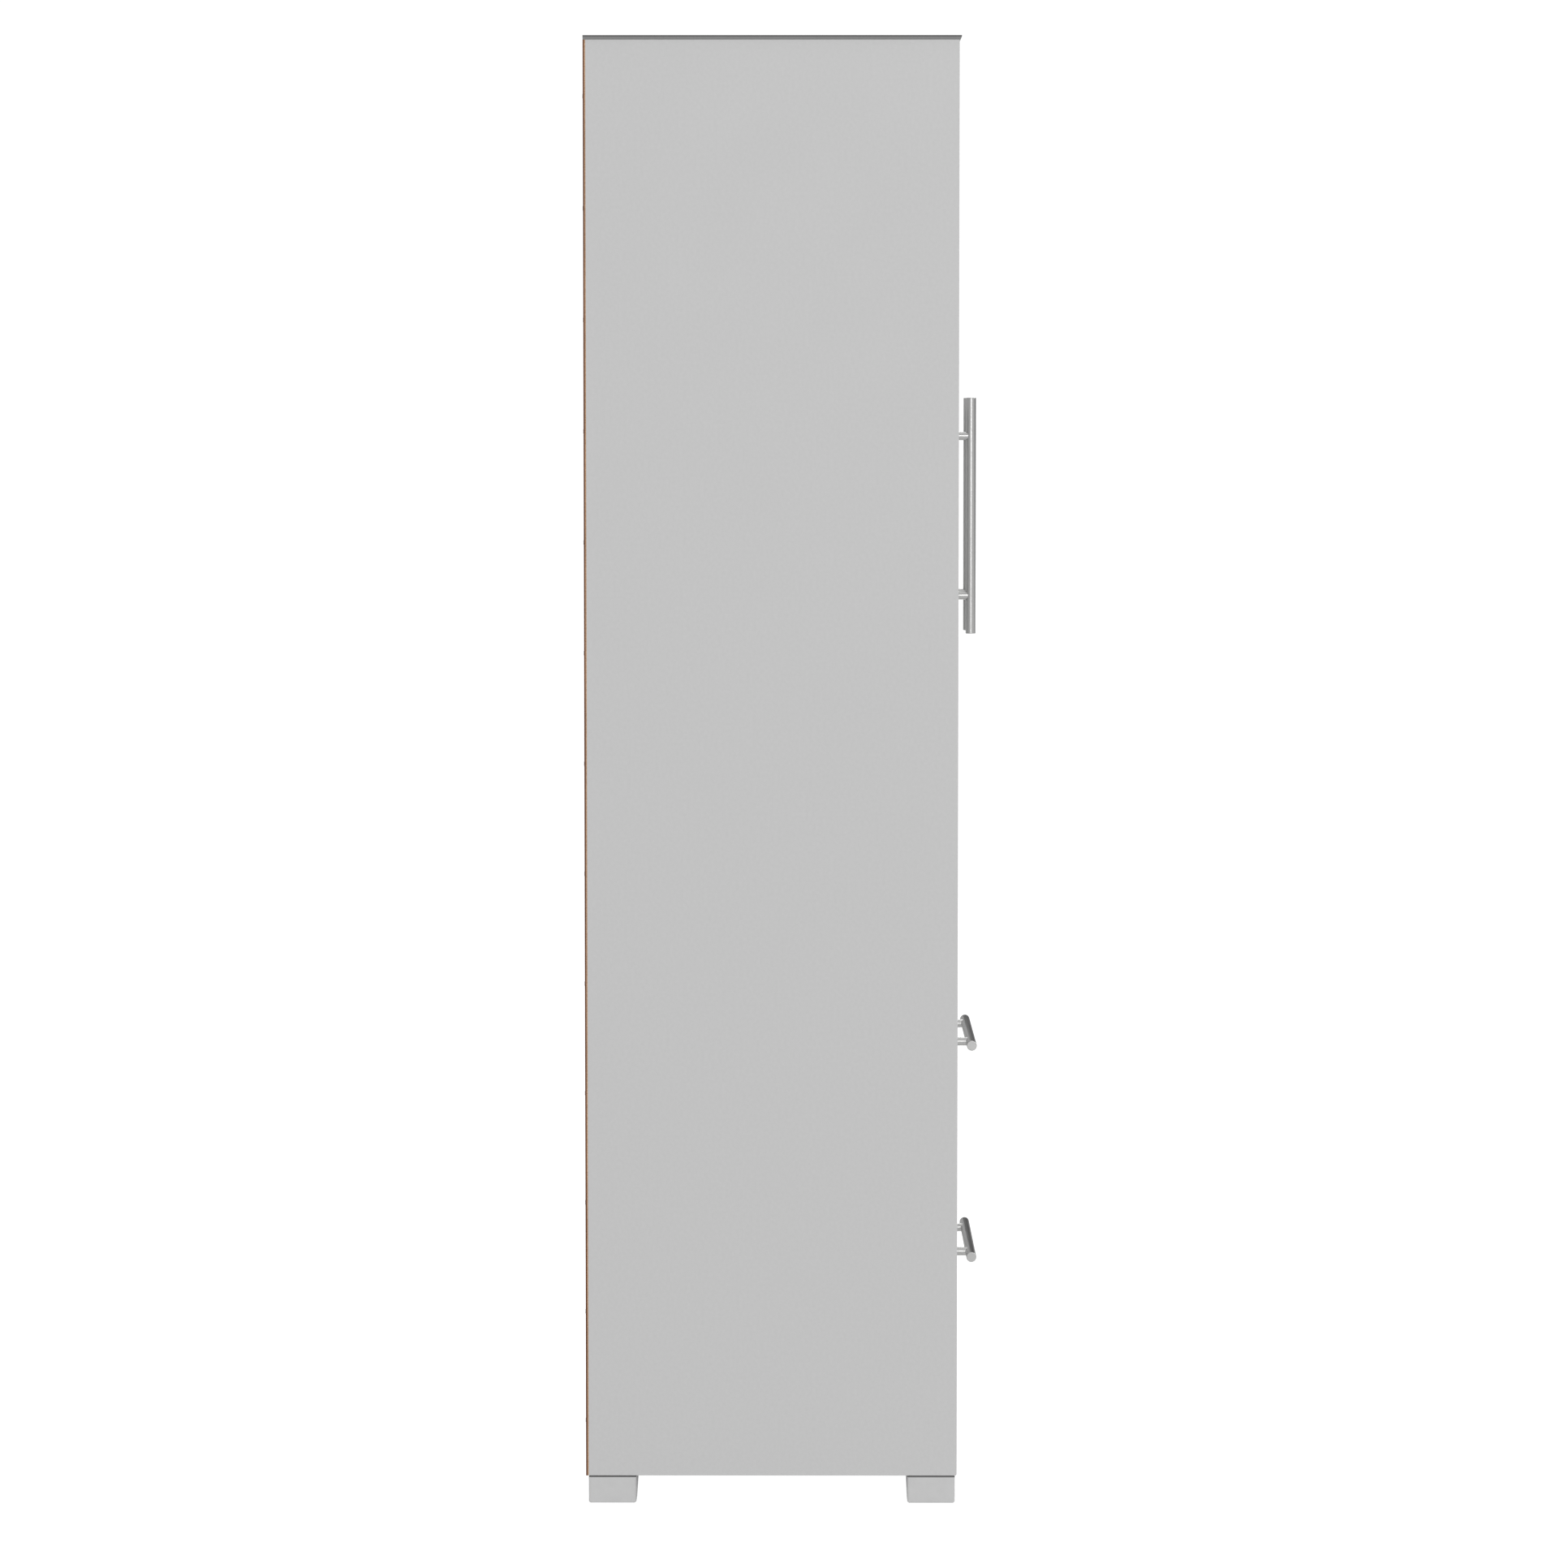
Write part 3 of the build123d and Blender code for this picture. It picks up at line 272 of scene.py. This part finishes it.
# ---------------------------------------------------------------- doors
# Two inset doors of the case's board, each with a bar handle of stainless tube on two posts.
# The tube is ground and buffed to a satin shine, so fine lines run round it.
dress(grey_melamine, "left_door", "right_door")
dress(metal("satin_stainless_upright", "C4C4C3", "BEBEBD", 0.29, (6.0, 6.0, 0.5)),
      "left_door_handle", "right_door_handle")
dress(zinc, "left_door_strike", "right_door_strike", "left_door_screws", "right_door_screws")

# ---------------------------------------------------------------- drawers
# Two wide drawers: a front of the case's board, a box of paler board and a hardboard bottom
# slid into grooves, lacquered on top.
level_stainless = metal("satin_stainless_level", "C4C4C3", "BEBEBD", 0.29, (0.5, 6.0, 6.0))
for drawer in ("upper", "lower"):
    dress(grey_melamine, drawer + "_drawer_front")
    dress(pale_melamine, *[drawer + "_drawer_" + part for part in ("left_side", "right_side", "back")])
    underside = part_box(drawer + "_drawer_bottom")[0][2]
    dress(hardboard("lacquered_hardboard_" + drawer, (0, 0, 1), (0, 0, -1), -underside),
          drawer + "_drawer_bottom")
    dress(level_stainless, drawer + "_drawer_handle")
    dress(zinc, drawer + "_drawer_screws")

# ---------------------------------------------------------------- runners
# Rolled steel rails with a white epoxy coat, and nylon rollers on riveted axles.
coated = moulded("white_epoxy_coat", "E6E6E4", "E1E1DF", 0.3, 1.0)
for drawer in ("upper", "lower"):
    dress(coated, drawer + "_cabinet_rails", drawer + "_drawer_rails")
    dress(nylon, drawer + "_front_rollers", drawer + "_rear_rollers")

# ---------------------------------------------------------------- floor, backdrop and light
# A white floor and a white surround, both seen brighter than they light the cabinet, a large
# soft light beside the camera, one above the front and one behind for the handles' upper edges.
reach = 40.0                                     # metres of floor to each side
unlit_patch = (0.40, 0.24, 1.0)                  # half the x and y of the floor that casts none
floor_light = 0.66                               # strength of what the rest of it casts
floor_mesh = bpy.data.meshes.new("floor")
floor_mesh.from_pydata([(-reach, -reach, 0), (reach, -reach, 0), (reach, reach, 0), (-reach, reach, 0)],
                       [], [(0, 1, 2, 3)])
floor = bpy.data.objects.new("floor", floor_mesh)
scene.collection.objects.link(floor)
floor_paint, floor_tree, floor_shader = finish("glowing_white_floor", Roughness=0.9)
floor_shader.inputs["Base Color"].default_value = colour("707070")
floor_shader.inputs["Emission Color"].default_value = colour("FFFFFF")
floor_seen = node(floor_tree, "ShaderNodeLightPath").outputs["Is Camera Ray"]
floor_place = node(floor_tree, "ShaderNodeTexCoord").outputs["Object"]
footprint = node(floor_tree, "ShaderNodeVectorMath", {1: unlit_patch}, {0: floor_place},
                 operation="DIVIDE")
floor_distance = node(floor_tree, "ShaderNodeVectorMath", (), {0: footprint.outputs[0]},
                      operation="LENGTH")
floor_cast = node(floor_tree, "ShaderNodeMapRange",
                  {"From Min": 0.8, "From Max": 1.0, "To Max": floor_light},
                  {"Value": floor_distance.outputs["Value"]})
floor_glow = node(floor_tree, "ShaderNodeMix", {NUMBER_B: 1.0},
                  {FACTOR: floor_seen, NUMBER_A: floor_cast.outputs["Result"]})
floor_tree.links.new(floor_glow.outputs[0], floor_shader.inputs["Emission Strength"])
floor_mesh.materials.append(floor_paint)

world = bpy.data.worlds.new("studio")
world.use_nodes = True
sky = world.node_tree
sky.nodes.clear()
around = node(sky, "ShaderNodeTexCoord").outputs["Generated"]
# The surround darkens beyond the handles, which shows their roundness, and is light overhead.
dark_side = (0.9, -0.43, 0.1)
towards_dark = node(sky, "ShaderNodeVectorMath", {1: dark_side}, {0: around},
                    operation="DOT_PRODUCT")
level = node(sky, "ShaderNodeMapRange",
             {"From Min": 0.15, "From Max": 0.6, "To Min": 0.62, "To Max": 0.06},
             {"Value": towards_dark.outputs["Value"]}, interpolation_type="SMOOTHSTEP")
height = node(sky, "ShaderNodeSeparateXYZ", (), {0: around})
overhead = node(sky, "ShaderNodeMapRange", {"From Min": 0.7, "From Max": 0.95, "To Max": 0.6},
                {"Value": height.outputs["Z"]}, interpolation_type="SMOOTHSTEP")
lit = node(sky, "ShaderNodeMath", (), {0: level.outputs["Result"], 1: overhead.outputs["Result"]})
seen = node(sky, "ShaderNodeLightPath").outputs["Is Camera Ray"]
strength = node(sky, "ShaderNodeMix", {NUMBER_B: 1.05},
                {FACTOR: seen, NUMBER_A: lit.outputs["Value"]})
glow = node(sky, "ShaderNodeBackground", {"Color": colour("FFFFFF")}, {"Strength": strength.outputs[0]})
node(sky, "ShaderNodeOutputWorld", (), {"Surface": glow.outputs["Background"]})
scene.world = world


def soft_light(name, place, target, size, power):
    """A large rectangular light that faces its target."""
    data = bpy.data.lights.new(name, "AREA")
    data.shape = "RECTANGLE"
    data.size, data.size_y = size
    data.energy = power
    lamp = bpy.data.objects.new(name, data)
    lamp.location = place
    lamp.rotation_mode = "QUATERNION"
    lamp.rotation_quaternion = (Vector(target) - Vector(place)).to_track_quat("-Z", "Y")
    scene.collection.objects.link(lamp)


soft_light("key", (-8.0, -1.0, 2.6), target=(0, 0, 0.9), size=(3.4, 3.0), power=108)
soft_light("front", (1.6, -5.0, 5.0), target=(0, 0, 0.9), size=(3.0, 2.0), power=210)
soft_light("rim", (3.2, -0.4, 3.4), target=(0, -0.2, 0.9), size=(0.8, 1.6), power=14)
scene.view_settings.view_transform = "Standard"
